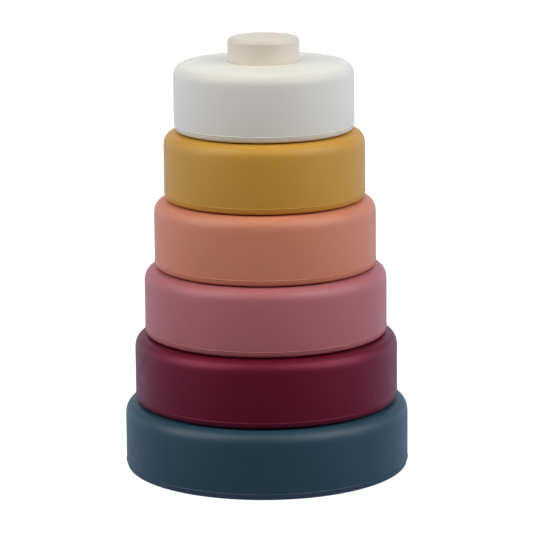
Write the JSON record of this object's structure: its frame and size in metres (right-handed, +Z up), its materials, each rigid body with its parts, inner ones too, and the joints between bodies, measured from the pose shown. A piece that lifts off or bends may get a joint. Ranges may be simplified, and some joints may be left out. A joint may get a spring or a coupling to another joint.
{
  "type": "stacking ring toy",
  "caption": "Toddler's stacking tower: a round drum base with a fixed post, and thick matte plastic rings of falling diameter that lift off over the post.",
  "frame": {"origin": "centre of the base's underside, on the surface it stands on", "axes": "+Z up along the post; the toy is round about it, with one base screw on the +X side"},
  "size_m": [0.1204, 0.1204, 0.1834],
  "materials": {
    "teal_plastic": "soft-touch matte, fine even spark-eroded texture",
    "burgundy_plastic": "soft-touch matte, fine even spark-eroded texture",
    "rose_plastic": "soft-touch matte, fine even spark-eroded texture",
    "peach_plastic": "soft-touch matte, fine even spark-eroded texture",
    "mustard_plastic": "soft-touch matte, fine even spark-eroded texture",
    "white_plastic": "soft-touch matte, fine even spark-eroded texture",
    "cream_plastic": "soft-touch matte, fine even spark-eroded texture",
    "screw_steel": "zinc plated"
  },
  "bodies": {
    "base": {"base_shell": "teal_plastic", "base_cover": "teal_plastic", "post": "cream_plastic", "base_screws": "screw_steel"},
    "burgundy_ring": {"burgundy_ring_shell": "burgundy_plastic", "burgundy_ring_cover": "burgundy_plastic"},
    "rose_ring": {"rose_ring_shell": "rose_plastic", "rose_ring_cover": "rose_plastic"},
    "peach_ring": {"peach_ring_shell": "peach_plastic", "peach_ring_cover": "peach_plastic"},
    "mustard_ring": {"mustard_ring_shell": "mustard_plastic", "mustard_ring_cover": "mustard_plastic"},
    "white_ring": {"white_ring_shell": "white_plastic", "white_ring_cover": "white_plastic"}
  },
  "joints": [
    {"name": "burgundy_ring_lift", "type": "slide", "parent": "base", "child": "burgundy_ring", "axis": [0, 0, 1], "range_m": [0, 0.16]},
    {"name": "rose_ring_lift", "type": "slide", "parent": "burgundy_ring", "child": "rose_ring", "axis": [0, 0, 1], "range_m": [0, 0.131]},
    {"name": "peach_ring_lift", "type": "slide", "parent": "rose_ring", "child": "peach_ring", "axis": [0, 0, 1], "range_m": [0, 0.102]},
    {"name": "mustard_ring_lift", "type": "slide", "parent": "peach_ring", "child": "mustard_ring", "axis": [0, 0, 1], "range_m": [0, 0.0735]},
    {"name": "white_ring_lift", "type": "slide", "parent": "mustard_ring", "child": "white_ring", "axis": [0, 0, 1], "range_m": [0, 0.0445]}
  ]
}
